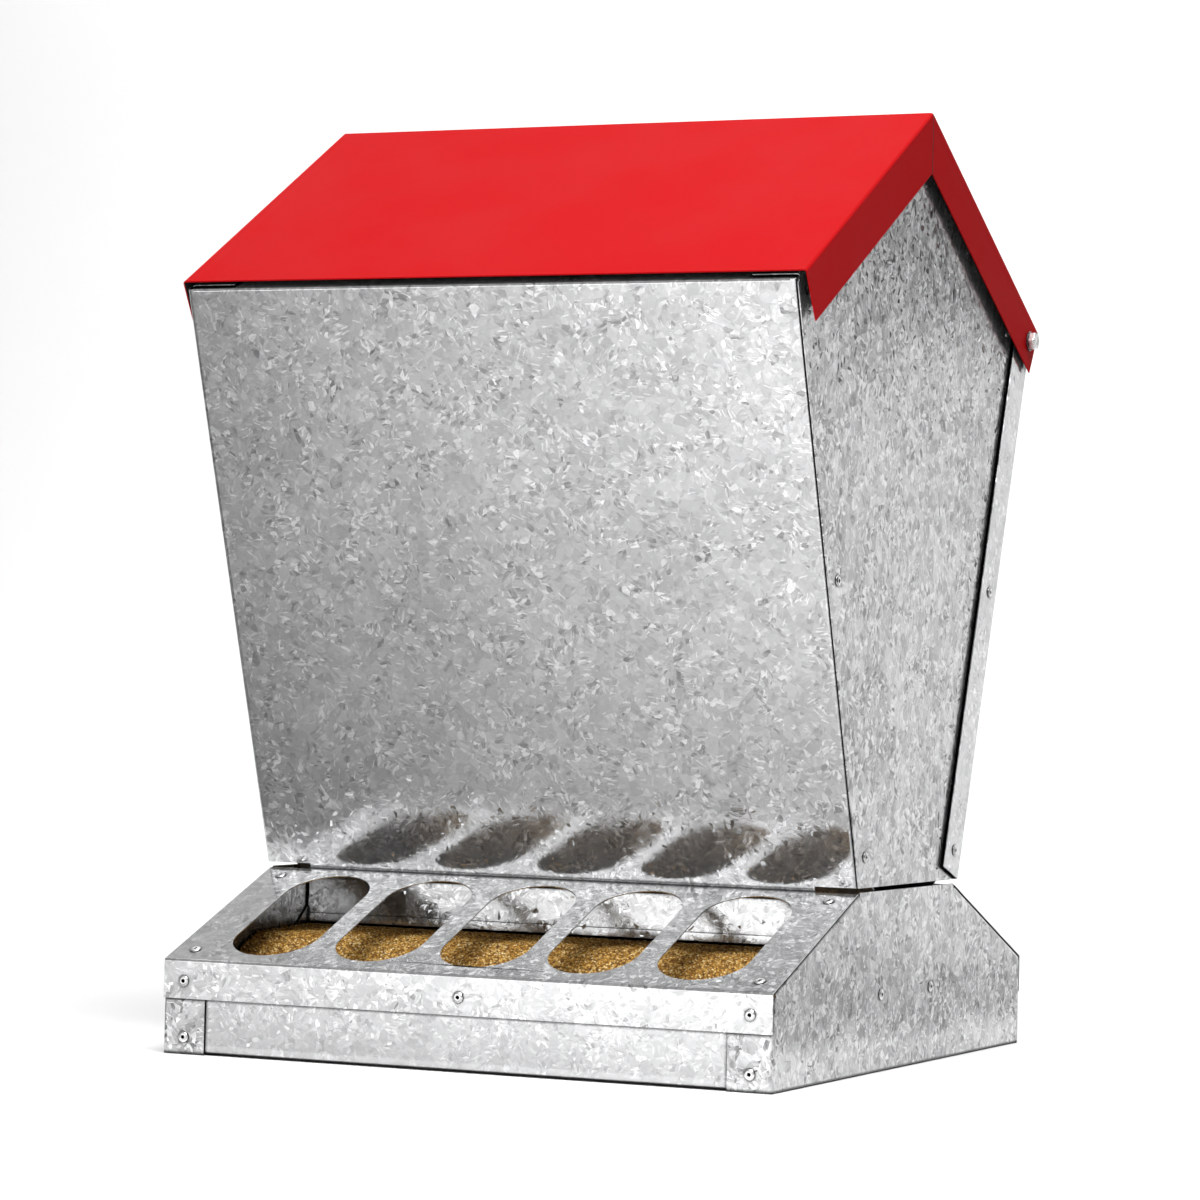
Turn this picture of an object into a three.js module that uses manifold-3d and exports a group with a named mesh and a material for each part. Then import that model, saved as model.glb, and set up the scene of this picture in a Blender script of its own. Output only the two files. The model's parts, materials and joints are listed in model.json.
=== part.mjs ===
// A double-sided gravity feeder for poultry, folded from galvanised sheet and joined with blind rivets.
// Grain is poured in under a hinged red lid, slides down a tapering hopper, passes between two baffles
// and lies in a trough, where birds reach it through a row of slots on the front and on the rear.
// Millimetres, +Z up. The origin is on the ground under the middle of the feeder. The front faces -Y.
// The feeder is the same after half a turn about Z, apart from the lid's hinge, which is at the rear.
import * as THREE from "three";
import { mergeVertices } from "three/addons/utils/BufferGeometryUtils.js";
import Module from "manifold-3d";

// Sheet metal
const SHEET = 0.8; // thickness of every sheet
const BEND = 1; // inside radius of every fold
const BEND_STEPS = 4; // flats that make up a fold's curve
const SEAM = 0.3; // gap between two sheets that lie on each other
const PROUD_SEAM = 1.6; // the same under the hopper's outer flanges, which stand a little off
const ROOT_STEP = 0.02; // how far a flange's root lies below the faces of the sheet it grows from
const FLANGE = 27; // width of the riveted flanges and of the corner tabs

// Base
const BASE_WIDTH = 380; // over the base sides
const BASE_DEPTH = 404; // over the lips
const LIP_TOP = 54.5; // height of the fold between lip and grille plate
const LIP_HEIGHT = 22.5;
const MOUTH_DEPTH = 156; // between the folds where the two grille plates meet the hopper
const MOUTH_HEIGHT = 104;
const PLATE_INSET = 0.3; // how far the grille plates stay inside the base sides' outer faces
const FOOT_FLANGE = 20; // width of the flanges that the feeder stands on
const TROUGH_WALL = 50; // height of the trough's walls

// Feeding slots
const SLOT_WIDTH = 53.5;
const SLOT_BAR = 13.75; // sheet left between two slots
const SLOT_FRONT_MARGIN = 11;
const SLOT_REAR_MARGIN = 10;

// Hopper
const HOPPER_DEPTH = 381.3; // over the top folds
const HOPPER_TOP = 441.5; // height of the top folds
const TOP_FOLD = 12; // width of the strip turned inwards along the top
const NOTCH_HEIGHT = 3.2; // relief cut at each end of the fold between plate and hopper
const SIDE_EDGE_GAP = 2.4; // from a side panel's covered edge to the face of the wall it meets

// Baffles
const BAFFLE_HALF_GAP = 34; // from the middle of the feeder to a baffle's outer face
const BAFFLE_BOTTOM = 69;
const BAFFLE_KNEE = 96; // where the drop turns into the sloping guide
const GUIDE_TOP = 122; // where the guide reaches the hopper's wall
const HEM = 5; // doubled strip along the baffle's lower edge
const EAR_WIDTH = 15;
const EAR_BOTTOM = 30;
const EAR_TOP = 78.5;

// Lid
const ROOF_PITCH = THREE.MathUtils.degToRad(29.9);
const EAVE_OVERHANG = 0.85; // past the hopper's top fold
const EAVE_RISE = 5; // height of the eave above the hopper's top fold
const LID_SIDE_GAP = 2.05; // between the lid's flanges and the hopper's outer flanges
const REAR_EAVE = 4.5; // how much further the lid runs down the rear slope
const LID_FLANGE = 31;
const LID_GAP = 2.2; // between the lid and the gable flanges under it
const GABLE_FLANGE = 28;
const GABLE_RELIEF = 2.5; // corner cut off a side's flush edge, so that the opening lid clears it
const RIDGE_SEAM = 0.5; // gap between the ends of the lid's flanges at the ridge

// Hinge: one bolt on each side, near the hopper's rear top corners
const HINGE_INSET = 13.65; // in from the rear top fold
const HINGE_DROP = 4.5; // below the top fold
const BOLT_RADIUS = 3;
const BOLT_CLEARANCE = 0.3;
const BOLT_HEAD_ACROSS_FLATS = 10;
const BOLT_HEAD_HEIGHT = 3.8;
const BOLT_TAIL = 18.5; // from under the head to the end
const NUT_HEIGHT = 5;
const WASHER_RADIUS = 6;
const WASHER_THICKNESS = 1;

// Blind rivets
const RIVET_HEAD_RADIUS = 3.25;
const RIVET_HEAD_HEIGHT = 1.15;
const RIVET_SHANK_RADIUS = 1.6;
const RIVET_BULB_RADIUS = 2.2;
const RIVET_BULB_LENGTH = 3;
const RIVET_HOLLOW_RADIUS = 0.95;
const RIVET_HOLLOW_DEPTH = 0.75;
const RIVET_CLEARANCE = 0.3;
const RIVET_SEAT = 0.25; // gap under the head and over the bulb
const LIP_RIVET_DROP = 12.3; // below the fold at the lip's top
const TAB_RIVET_HEIGHT = 10;
const HOPPER_RIVET_HEIGHTS = [124, 279.5];
const BAFFLE_RIVET_OFFSET = 40.5; // from the middle of the feeder
const BAFFLE_RIVET_HEIGHT = 44.5;
const ROUND_STEPS = 10; // sides of small round pieces

// Grain
const GRAIN_GAP = 0.5; // from the grain to the sheets round it
const GRAIN_TOP = 92; // height of the grain left between the baffles
const GRAIN_DIP = 4; // how far its surface sinks in the middle
const GRAIN_SHELF = 68; // how far the bed lies nearly level, outwards from a baffle's foot
const GRAIN_SHELF_FALL = 2; // how far it sinks over that
const GRAIN_BROW = 8; // rounding where it turns down
const GRAIN_REPOSE = THREE.MathUtils.degToRad(32); // its slope from there to the lip
const GRAIN_TOE_GAP = 9; // from the grain's edge to the trough's outer face

// Places that follow from the sizes above
const SIDE = BASE_WIDTH / 2; // outer face of the base sides and of the hopper sides
const INNER_FLANGE = SIDE - SHEET - SEAM; // outer face of a flange that lies under a side
const OUTER_FLANGE = SIDE + PROUD_SEAM + SHEET; // outer face of a flange that lies over a side
const LIP = BASE_DEPTH / 2; // outer face of the lips
const TAB = LIP - SHEET - SEAM; // outer face of the corner tabs
const TROUGH = TAB - SHEET - SEAM; // outer face of the trough's walls
const TROUGH_FLOOR = SHEET + SEAM; // underside of the trough
const MOUTH = MOUTH_DEPTH / 2;
const TOP = HOPPER_DEPTH / 2;
const RIVET_INSET = FLANGE / 2;
const PLATE = new THREE.Vector2(LIP - MOUTH, MOUTH_HEIGHT - LIP_TOP); // a grille plate's run and rise
const WALL = new THREE.Vector2(TOP - MOUTH, HOPPER_TOP - MOUTH_HEIGHT); // a hopper wall's
const PLATE_ANGLE = PLATE.angle();
const WALL_LEAN = Math.PI / 2 - WALL.angle(); // from the vertical
const EAVE = new THREE.Vector2(TOP + EAVE_OVERHANG, HOPPER_TOP + EAVE_RISE);
const RIDGE = EAVE.y + EAVE.x * Math.tan(ROOF_PITCH);
const LID_SIDE = OUTER_FLANGE + LID_SIDE_GAP + SHEET; // outer face of the lid's flanges
const HINGE = new THREE.Vector2(TOP - HINGE_INSET, HOPPER_TOP - HINGE_DROP);
const NOTCH_INNER = SIDE - FLANGE;
const NOTCH_BOTTOM = MOUTH_HEIGHT - NOTCH_HEIGHT / 4;
const NOTCH_TOP = NOTCH_BOTTOM + NOTCH_HEIGHT;
const SLOT_LENGTH = PLATE.length() - SLOT_FRONT_MARGIN - SLOT_REAR_MARGIN;
const SLOT_PITCH = SLOT_WIDTH + SLOT_BAR;
const SLOT_COUNT = Math.floor((BASE_WIDTH - 2 * FLANGE + SLOT_BAR) / SLOT_PITCH);
const FAR = 1000; // longer than anything here, for cutting blocks
const CUT = 8; // how far a hole's cutter reaches past the sheets

const X = new THREE.Vector3(1, 0, 0);
const Y = new THREE.Vector3(0, 1, 0);
const Z = new THREE.Vector3(0, 0, 1);

// Colours and surfaces
const GALVANISED = { color: 0xb9bcbe, roughness: 0.42, metalness: 0.85 };
const RED_PAINT = { color: 0xe52b30, roughness: 0.5, metalness: 0 };
const ZINC = { color: 0xc4c4c2, roughness: 0.3, metalness: 1 };
const GRAIN = { color: 0xb7822f, roughness: 0.95, metalness: 0 };

const wasm = await Module();
wasm.setup();
const feeder = new THREE.Group();

// ---------------------------------------------------------------- solids

// A closed three.js geometry as a solid that can be joined and cut.
function solid(geometry) {
  const bare = geometry.index ? geometry.toNonIndexed() : geometry.clone();
  bare.deleteAttribute("normal");
  bare.deleteAttribute("uv");
  const merged = mergeVertices(bare, 1e-4);
  const triVerts = new Uint32Array(merged.index.array);
  const make = () =>
    new wasm.Manifold(
      new wasm.Mesh({ numProp: 3, vertProperties: merged.attributes.position.array, triVerts }),
    );
  const made = make();
  if (made.volume() > 0) return made;
  triVerts.reverse();
  return make();
}

const join = (solids) => solids.reduce((sum, next) => sum.add(next));
const cut = (body, cutters) => cutters.reduce((rest, cutter) => rest.subtract(cutter), body);

// Adds a solid to the feeder as a named piece.
function piece(name, body, finish) {
  const { vertProperties, triVerts } = body.getMesh();
  const geometry = new THREE.BufferGeometry();
  geometry.setAttribute("position", new THREE.BufferAttribute(vertProperties, 3));
  geometry.setIndex(new THREE.BufferAttribute(triVerts, 1));
  const mesh = new THREE.Mesh(
    geometry,
    new THREE.MeshStandardMaterial({ ...finish, flatShading: true }),
  );
  mesh.name = name;
  feeder.add(mesh);
  return mesh;
}

// Adds a piece and its twin on the other side of the feeder, half a turn about Z away.
function twins(name, otherName, body, finish) {
  piece(name, body, finish);
  piece(otherName, body, finish).rotation.z = Math.PI;
}

// A flat shape from [u, v] points.
function outline(points) {
  return new THREE.Shape(points.map(([u, v]) => new THREE.Vector2(u, v)));
}

// A shape swept along w by depth, with its u, v and w axes laid along three directions from a point.
function sweep(shape, depth, at, u, v, w) {
  const geometry = new THREE.ExtrudeGeometry(shape, { depth, bevelEnabled: false });
  geometry.applyMatrix4(new THREE.Matrix4().makeBasis(u, v, w).setPosition(at));
  return solid(geometry);
}

// A profile in the Y-Z plane swept from x0 to x1.
function sweepX(shape, x0, x1) {
  return sweep(shape, x1 - x0, new THREE.Vector3(x0, 0, 0), Y, Z, X);
}

function block(x0, x1, y0, y1, z0, z1) {
  const geometry = new THREE.BoxGeometry(x1 - x0, y1 - y0, z1 - z0);
  geometry.translate((x0 + x1) / 2, (y0 + y1) / 2, (z0 + z1) / 2);
  return solid(geometry);
}

// A body of revolution from [radius, height] points, turned so that its axis lies along a direction.
function turned(profile, at, axis, steps) {
  const points = profile.map(([radius, height]) => new THREE.Vector2(radius, height));
  const geometry = new THREE.LatheGeometry(points, steps);
  geometry.applyQuaternion(new THREE.Quaternion().setFromUnitVectors(Y, axis));
  geometry.translate(at.x, at.y, at.z);
  return solid(geometry);
}

function cylinder(radius, from, to, at, axis, steps) {
  return turned([[0, from], [radius, from], [radius, to], [0, to]], at, axis, steps);
}

// ---------------------------------------------------------------- folded sheet

// The profile of a sheet that follows a path of [u, v] corners with a rounded fold at each of them.
// The path is one face of the sheet, and the sheet lies on the left of it.
function foldedProfile(path, thickness) {
  const corners = path.map(([u, v]) => new THREE.Vector2(u, v));
  const face = [];
  const back = [];
  const add = (point, direction) => {
    face.push([point.x, point.y]);
    back.unshift([point.x - direction.y * thickness, point.y + direction.x * thickness]);
  };
  const heading = (i) => corners[i + 1].clone().sub(corners[i]).normalize();
  add(corners[0], heading(0));
  for (let i = 1; i < corners.length - 1; i++) {
    const before = heading(i - 1);
    const after = heading(i);
    const turn = Math.atan2(before.cross(after), before.dot(after));
    const radius = turn > 0 ? BEND + thickness : BEND;
    const reach = radius * Math.tan(Math.abs(turn) / 2);
    const side = new THREE.Vector2(-before.y, before.x).multiplyScalar(Math.sign(turn));
    const start = corners[i].clone().addScaledVector(before, -reach);
    const centre = start.clone().addScaledVector(side, radius);
    for (let step = 0; step <= BEND_STEPS; step++) {
      const angle = (turn * step) / BEND_STEPS;
      const point = start.clone().rotateAround(centre, angle);
      add(point, before.clone().rotateAround(new THREE.Vector2(), angle));
    }
  }
  add(corners[corners.length - 1], heading(corners.length - 2));
  return outline([...face, ...back]);
}

// A flange that grows from a sheet's edge. The edge runs from one point to another along the sharp
// corner of the fold, inward points into the sheet, away points the way that the flange is turned,
// and each end of the flange may run out or in by a slope times the distance from the fold.
function flange({ from, to, inward, away, width, startSlope = 0, endSlope = 0 }) {
  const rootLength = 3 * BEND + SHEET;
  const profile = foldedProfile(
    [[0, width], [0, ROOT_STEP], [rootLength, ROOT_STEP]],
    SHEET - 2 * ROOT_STEP,
  );
  const edge = to.clone().sub(from);
  const length = edge.length();
  const geometry = new THREE.ExtrudeGeometry(profile, { depth: length, bevelEnabled: false });
  const place = geometry.attributes.position;
  for (let i = 0; i < place.count; i++) {
    const atStart = place.getZ(i) < length / 2;
    const slope = atStart ? -startSlope : endSlope;
    place.setZ(i, place.getZ(i) + slope * place.getY(i));
  }
  geometry.applyMatrix4(new THREE.Matrix4().makeBasis(inward, away, edge.normalize()).setPosition(from));
  return solid(geometry);
}

// How far a sheet stops short of a fold's sharp corner, where the flange's curve takes over.
const FOLD_REACH = BEND + SHEET;

// ---------------------------------------------------------------- rivets

// Every rivet is named by its place. at is on the outer face of the outermost sheet, axis points out
// of it, and stack is the depth from there to the inner face of the innermost sheet.
const TWO_SHEETS = 2 * SHEET + SEAM;
const frontRivets = [];
for (const [side, x] of [["left", -1], ["right", 1]]) {
  const across = x * (SIDE - RIVET_INSET);
  frontRivets.push({
    name: `lip_rivet_${side}`,
    at: new THREE.Vector3(across, -LIP, LIP_TOP - LIP_RIVET_DROP),
    axis: Y.clone().negate(),
    stack: 3 * SHEET + 2 * SEAM,
  });
  frontRivets.push({
    name: `tab_rivet_${side}`,
    at: new THREE.Vector3(across, -TAB, TAB_RIVET_HEIGHT),
    axis: Y.clone().negate(),
    stack: TWO_SHEETS,
  });
  for (const [end, along] of [["lower", RIVET_INSET], ["upper", PLATE.length() - RIVET_INSET]]) {
    frontRivets.push({
      name: `plate_rivet_${side}_${end}`,
      at: onPlate(across, along),
      axis: plateNormal(),
      stack: TWO_SHEETS,
    });
  }
}
frontRivets.push({
  name: "lip_rivet_middle",
  at: new THREE.Vector3(0, -LIP, LIP_TOP - LIP_RIVET_DROP),
  axis: Y.clone().negate(),
  stack: 3 * SHEET + 2 * SEAM,
});

// The right side's rivets: through the side and the flange under it at the front, and through the
// flange over the side at the rear.
const sideRivets = [];
HOPPER_RIVET_HEIGHTS.forEach((height, i) => {
  const level = ["lower", "upper"][i];
  const inset = RIVET_INSET / Math.cos(WALL_LEAN);
  const depth = wallAt(height) - inset;
  sideRivets.push({
    name: `hopper_rivet_front_${level}`,
    at: new THREE.Vector3(SIDE, -depth, height),
    axis: X,
    stack: TWO_SHEETS,
  });
  sideRivets.push({
    name: `hopper_rivet_rear_${level}`,
    at: new THREE.Vector3(OUTER_FLANGE, depth, height),
    axis: X,
    stack: 2 * SHEET + PROUD_SEAM,
  });
});
for (const [end, y] of [["front", -1], ["rear", 1]]) {
  sideRivets.push({
    name: `baffle_rivet_${end}`,
    at: new THREE.Vector3(SIDE, y * BAFFLE_RIVET_OFFSET, BAFFLE_RIVET_HEIGHT),
    axis: X,
    stack: TWO_SHEETS,
  });
}

function rivetSolid({ at, axis, stack }) {
  const bulbTop = -stack - RIVET_SEAT;
  const profile = [
    [0, RIVET_HEAD_HEIGHT - RIVET_HOLLOW_DEPTH],
    [RIVET_HOLLOW_RADIUS, RIVET_HEAD_HEIGHT - RIVET_HOLLOW_DEPTH],
    [RIVET_HOLLOW_RADIUS, RIVET_HEAD_HEIGHT],
    [RIVET_HEAD_RADIUS * 0.72, RIVET_HEAD_HEIGHT * 0.82],
    [RIVET_HEAD_RADIUS, RIVET_SEAT],
    [RIVET_SHANK_RADIUS, RIVET_SEAT],
    [RIVET_SHANK_RADIUS, bulbTop],
    [RIVET_BULB_RADIUS, bulbTop],
    [RIVET_BULB_RADIUS, bulbTop - RIVET_BULB_LENGTH],
    [0, bulbTop - RIVET_BULB_LENGTH],
  ];
  return turned(profile, at, axis, ROUND_STEPS);
}

// The hole of a rivet, through all the sheets that it joins.
function rivetHole({ at, axis, stack }) {
  return cylinder(RIVET_SHANK_RADIUS + RIVET_CLEARANCE, -stack - SHEET, CUT, at, axis, ROUND_STEPS);
}

const halfTurn = (body) => body.rotate([0, 0, 180]);
const halfTheHoles = join([...frontRivets, ...sideRivets].map(rivetHole));
const boltHole = (side) =>
  cylinder(BOLT_RADIUS + BOLT_CLEARANCE, -CUT, CUT, new THREE.Vector3(side * SIDE, HINGE.x, HINGE.y), X,
    2 * ROUND_STEPS);
const rivetHoles = halfTheHoles.add(halfTurn(halfTheHoles));
// The sheets are drilled together, and each front piece has its twin's hinge holes as well.
const boltHoles = boltHole(-1).add(boltHole(1));
const holes = join([rivetHoles, boltHoles, halfTurn(boltHoles)]);

// ---------------------------------------------------------------- places

// A point on the front grille plate's upper face, along the slope from the fold at its front.
function onPlate(x, along) {
  return new THREE.Vector3(
    x,
    -LIP + along * Math.cos(PLATE_ANGLE),
    LIP_TOP + along * Math.sin(PLATE_ANGLE),
  );
}

function plateNormal() {
  return new THREE.Vector3(0, -Math.sin(PLATE_ANGLE), Math.cos(PLATE_ANGLE));
}

// The distance from the feeder's middle to the hopper wall's outer face at a height.
function wallAt(height) {
  return MOUTH + ((height - MOUTH_HEIGHT) * WALL.x) / WALL.y;
}

// The height of the lid's outer face at a distance from the ridge, or of a line that far below it.
function roofAt(depth, below = 0) {
  return RIDGE - depth * Math.tan(ROOF_PITCH) - below / Math.cos(ROOF_PITCH);
}

// ---------------------------------------------------------------- front and rear panels

// One sheet: top fold, hopper wall, grille plate with its slots, and lip. Its right flange goes under
// the hopper's side and its left flange goes over the other side.
function wrap() {
  const profile = foldedProfile(
    [
      [-TOP + TOP_FOLD * Math.cos(ROOF_PITCH), HOPPER_TOP + TOP_FOLD * Math.sin(ROOF_PITCH)],
      [-TOP, HOPPER_TOP],
      [-MOUTH, MOUTH_HEIGHT],
      [-LIP, LIP_TOP],
      [-LIP, LIP_TOP - LIP_HEIGHT],
    ],
    SHEET,
  );
  const plateEdge = SIDE - PLATE_INSET;
  const sheet = cut(sweepX(profile, -plateEdge, plateEdge), [
    block(-FAR, -OUTER_FLANGE + FOLD_REACH, -FAR, FAR, NOTCH_TOP, FAR),
    block(INNER_FLANGE - FOLD_REACH, FAR, -FAR, FAR, NOTCH_TOP, FAR),
    block(NOTCH_INNER, FAR, -MOUTH - FLANGE, FAR, NOTCH_BOTTOM, NOTCH_TOP + ROOT_STEP),
    block(-FAR, -NOTCH_INNER, -MOUTH - FLANGE, FAR, NOTCH_BOTTOM, NOTCH_TOP + ROOT_STEP),
    block(-FAR, -INNER_FLANGE, -TOP + SIDE_EDGE_GAP / 2, FAR, HOPPER_TOP, FAR),
    ...slots(),
  ]);
  const edge = (x, height) => new THREE.Vector3(x, -wallAt(height), height);
  const away = new THREE.Vector3(0, Math.cos(WALL_LEAN), Math.sin(WALL_LEAN));
  const flanges = [[-OUTER_FLANGE, X], [INNER_FLANGE, X.clone().negate()]].map(([x, inward]) =>
    flange({
      from: edge(x, NOTCH_TOP),
      to: edge(x, HOPPER_TOP),
      inward,
      away,
      width: FLANGE,
      endSlope: Math.tan(ROOF_PITCH - WALL_LEAN),
    }),
  );
  return cut(join([sheet, ...flanges]), [holes]);
}

// The cutters of the feeding slots, which are round at both ends.
function slots() {
  const radius = SLOT_WIDTH / 2;
  const shape = new THREE.Shape();
  shape.absarc(0, SLOT_LENGTH - radius, radius, 0, Math.PI);
  shape.absarc(0, radius, radius, Math.PI, 2 * Math.PI);
  const upSlope = new THREE.Vector3(0, Math.cos(PLATE_ANGLE), Math.sin(PLATE_ANGLE));
  const normal = plateNormal();
  return Array.from({ length: SLOT_COUNT }, (_, i) => {
    const x = (i - (SLOT_COUNT - 1) / 2) * SLOT_PITCH;
    const at = onPlate(x, SLOT_FRONT_MARGIN).addScaledVector(normal, -CUT / 2);
    return sweep(shape, CUT, at, X, upSlope, normal);
  });
}

twins("front_panel", "rear_panel", wrap(), GALVANISED);

// ---------------------------------------------------------------- hopper sides

// The right side: its front edge is flush with the front wall, and its rear edge is covered by the
// rear panel's flange. Two flanges along the gable carry the lid.
function hopperSide() {
  const under = LID_GAP + SHEET; // from the lid's outer face down to the gable flanges' upper face
  const frontTop = gableCorner(0, under) - GABLE_RELIEF;
  const rearTop = gableCorner(SIDE_EDGE_GAP, under);
  const shoulder = HOPPER_TOP - GABLE_RELIEF;
  const back = FOLD_REACH / Math.cos(ROOF_PITCH);
  const panel = outline([
    [-wallAt(NOTCH_TOP), NOTCH_TOP],
    [wallAt(NOTCH_TOP) - SIDE_EDGE_GAP, NOTCH_TOP],
    [rearTop, roofAt(rearTop, under) - back],
    [0, roofAt(0, under) - back],
    [-frontTop, roofAt(frontTop, under) - back],
    [-wallAt(shoulder), shoulder],
  ]);
  const plate = sweepX(panel, SIDE - SHEET, SIDE);
  const gable = [[-1, frontTop], [1, rearTop]].map(([way, end]) => {
    const foot = new THREE.Vector3(SIDE, way * end, roofAt(end, under));
    const peak = new THREE.Vector3(SIDE, way * RIDGE_SEAM, roofAt(RIDGE_SEAM, under));
    return flange({
      from: foot,
      to: peak,
      inward: new THREE.Vector3(0, -way * Math.sin(ROOF_PITCH), -Math.cos(ROOF_PITCH)),
      away: X.clone().negate(),
      width: GABLE_FLANGE,
    });
  });
  return cut(join([plate, ...gable]), [holes]);
}

// How far out a side reaches under the lid, where a line inside the hopper's wall meets a line below
// the lid's outer face.
function gableCorner(inside, below) {
  const lean = WALL.x / WALL.y;
  const reach = MOUTH - inside + lean * (roofAt(0, below) - MOUTH_HEIGHT);
  return reach / (1 + lean * Math.tan(ROOF_PITCH));
}

twins("hopper_side_right", "hopper_side_left", hopperSide(), GALVANISED);

// ---------------------------------------------------------------- base sides

// The right side: six-sided, with a flange to stand on, a tab round each end of the trough and a
// flange under each grille plate.
function baseSide() {
  const under = SHEET + SEAM; // from the grille plate's upper face down to the flange
  const inset = under / Math.cos(PLATE_ANGLE);
  const shoulder = new THREE.Vector2(TAB, LIP_TOP - inset + (LIP - TAB) * Math.tan(PLATE_ANGLE));
  const crown = new THREE.Vector2(MOUTH, MOUTH_HEIGHT - inset);
  const reach = FOLD_REACH;
  const half = [
    [TAB - reach, reach],
    [TAB - reach, shoulder.y - reach],
    [crown.x, crown.y - reach / Math.cos(PLATE_ANGLE)],
    [crown.x - reach, MOUTH_HEIGHT],
  ];
  const panel = outline([...half, ...half.map(([y, z]) => [-y, z]).reverse()]);
  const plate = sweepX(panel, SIDE - SHEET, SIDE);
  const at = (y, z) => new THREE.Vector3(SIDE, y, z);
  const away = X.clone().negate();
  const foot = flange({
    from: at(-TAB + reach, 0),
    to: at(TAB - reach, 0),
    inward: Z,
    away,
    width: FOOT_FLANGE,
    startSlope: -1 / 4,
    endSlope: -1 / 4,
  });
  const ends = [-1, 1].flatMap((way) => [
    flange({
      from: at(way * TAB, 0),
      to: at(way * TAB, shoulder.y - reach),
      inward: new THREE.Vector3(0, -way, 0),
      away,
      width: FLANGE,
    }),
    flange({
      from: at(way * (shoulder.x - reach), shoulder.y + reach * Math.tan(PLATE_ANGLE)),
      to: at(way * crown.x, crown.y),
      inward: new THREE.Vector3(0, -way * Math.sin(PLATE_ANGLE), -Math.cos(PLATE_ANGLE)),
      away,
      width: FLANGE,
    }),
  ]);
  return cut(join([plate, foot, ...ends]), [holes]);
}

twins("base_side_right", "base_side_left", baseSide(), GALVANISED);

// ---------------------------------------------------------------- trough

function trough() {
  const profile = foldedProfile(
    [[-TROUGH, TROUGH_WALL], [-TROUGH, TROUGH_FLOOR], [TROUGH, TROUGH_FLOOR], [TROUGH, TROUGH_WALL]],
    SHEET,
  );
  return cut(sweepX(profile, -INNER_FLANGE, INNER_FLANGE), [holes]);
}

piece("trough", trough(), GALVANISED);

// ---------------------------------------------------------------- baffles

// The front baffle: a guide that slopes down from the hopper's wall, a drop with a hemmed edge that
// sets the height of the grain, and an ear at each end that is riveted to the base's side.
function baffle() {
  const wallFace = wallAt(GUIDE_TOP) - SHEET / Math.cos(WALL_LEAN) - SEAM;
  const profile = foldedProfile(
    [[-wallFace, GUIDE_TOP], [-BAFFLE_HALF_GAP, BAFFLE_KNEE], [-BAFFLE_HALF_GAP, BAFFLE_BOTTOM]],
    SHEET,
  );
  const earMiddle = INNER_FLANGE - SHEET / 2;
  const sheet = cut(sweepX(profile, -earMiddle, earMiddle), [
    block(INNER_FLANGE - SHEET - SEAM, FAR, -FAR, FAR, EAR_TOP + HEM, FAR),
    block(-FAR, -INNER_FLANGE + SHEET + SEAM, -FAR, FAR, EAR_TOP + HEM, FAR),
  ]);
  const hem = block(
    -earMiddle,
    earMiddle,
    -BAFFLE_HALF_GAP - SHEET / 2,
    -BAFFLE_HALF_GAP + SHEET / 2,
    BAFFLE_BOTTOM - ROOT_STEP,
    BAFFLE_BOTTOM + HEM,
  );
  const ear = outline([
    [-BAFFLE_HALF_GAP + SHEET / 2, EAR_BOTTOM],
    [-BAFFLE_HALF_GAP + SHEET / 2, EAR_TOP],
    [-BAFFLE_HALF_GAP, EAR_TOP],
    [-BAFFLE_HALF_GAP - EAR_WIDTH, EAR_TOP - 0.8 * EAR_WIDTH],
    [-BAFFLE_HALF_GAP - EAR_WIDTH, EAR_BOTTOM],
  ]);
  const ears = [
    sweepX(ear, INNER_FLANGE - SHEET, INNER_FLANGE),
    sweepX(ear, -INNER_FLANGE, -INNER_FLANGE + SHEET),
  ];
  return cut(join([sheet, hem, ...ears]), [holes]);
}

twins("front_baffle", "rear_baffle", baffle(), GALVANISED);

// ---------------------------------------------------------------- grain

// What is left in the hopper's throat and the two beds that have run out under the baffles, pecked away in
// front.
function grain() {
  const toe = TROUGH - GRAIN_TOE_GAP;
  const floor = TROUGH_FLOOR + SHEET + GRAIN_GAP;
  const face = BAFFLE_HALF_GAP - SHEET - GRAIN_GAP; // along the baffles' inner faces
  const crest = BAFFLE_BOTTOM - GRAIN_GAP - SHEET;
  const foot = BAFFLE_HALF_GAP + SHEET;
  const shelf = foot + GRAIN_SHELF;
  const slope = (y) => crest - GRAIN_SHELF_FALL - (y - shelf) * Math.tan(GRAIN_REPOSE);
  const half = [
    [toe, floor],
    [toe, slope(toe)],
    [shelf + GRAIN_BROW, slope(shelf + GRAIN_BROW)],
    [shelf - GRAIN_BROW, crest - GRAIN_SHELF_FALL],
    [foot, crest],
    [face, crest],
    [face, GRAIN_TOP],
    [face / 2, GRAIN_TOP - GRAIN_DIP],
  ];
  const heap = outline([...half, ...half.map(([y, z]) => [-y, z]).reverse()]);
  const end = INNER_FLANGE - SHEET - 2 * SEAM;
  const pockets = sideRivets.map(({ at }) =>
    cylinder(2 * RIVET_BULB_RADIUS, -FLANGE / 3, CUT, at, X, ROUND_STEPS),
  );
  return cut(sweepX(heap, -end, end), [...pockets, ...pockets.map(halfTurn)]);
}

piece("grain", grain(), GRAIN);

// ---------------------------------------------------------------- lid

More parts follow.
